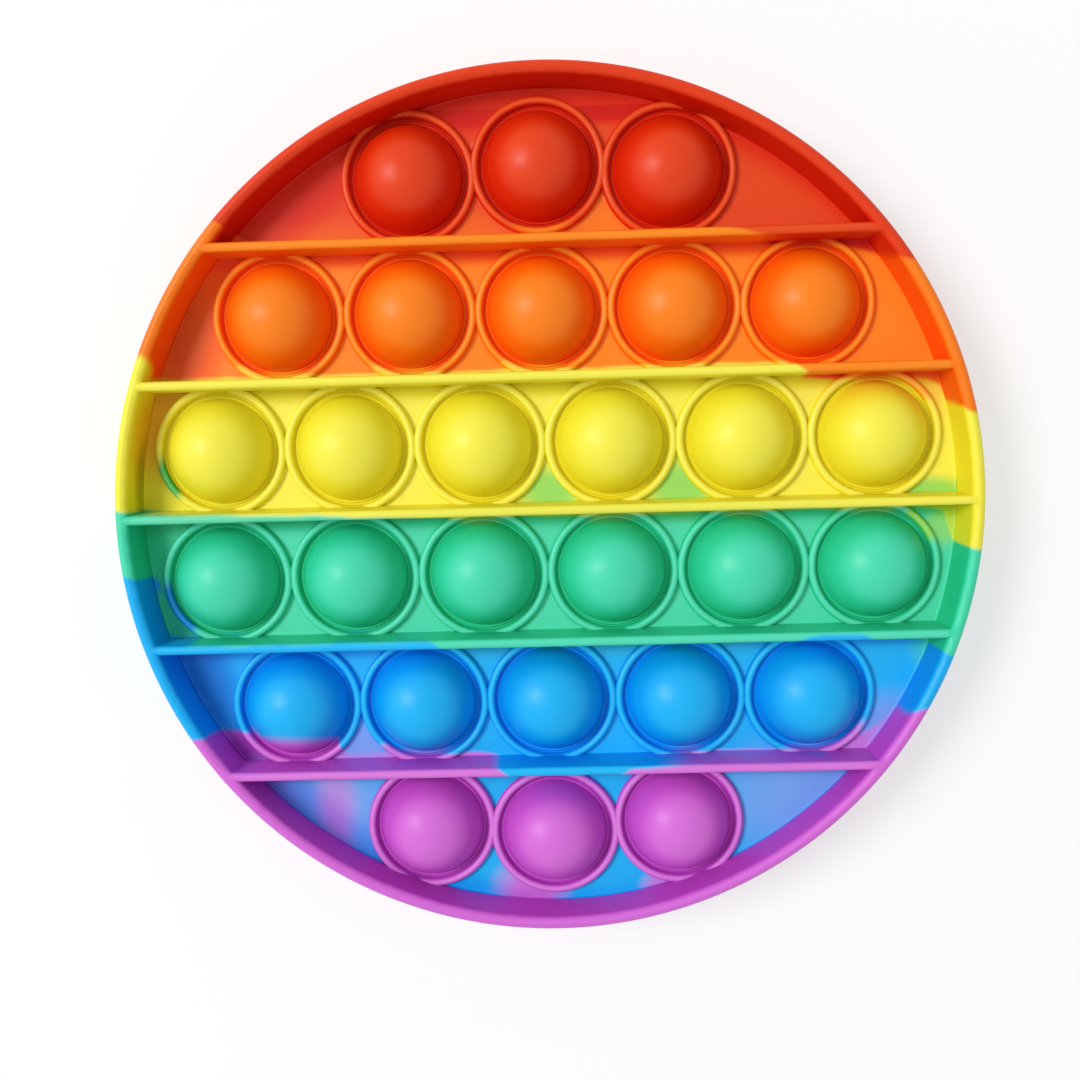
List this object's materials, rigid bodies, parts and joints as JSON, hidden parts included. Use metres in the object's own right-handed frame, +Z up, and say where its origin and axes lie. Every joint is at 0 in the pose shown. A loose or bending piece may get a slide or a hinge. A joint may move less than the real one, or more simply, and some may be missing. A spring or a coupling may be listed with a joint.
{
  "type": "bubble pop fidget toy",
  "caption": "Round one-piece silicone fidget toy: hollow domes in rows on a thin web, each ringed, parted by straight ribs inside a deep rim, in rainbow colours.",
  "frame": {"origin": "centre of the round rim's lower edge, on the surface it rests on", "axes": "+Z up out of the domed face, +X along the ribs and the rows of domes, +Y towards the red edge"},
  "size_m": [0.125, 0.125, 0.0153],
  "materials": {
    "silicone": "satin moulded silicone, coloured in bands that run into each other: red, orange, yellow, green, blue, purple"
  },
  "bodies": {
    "root": {"bubble_disc": "silicone"}
  },
  "joints": []
}
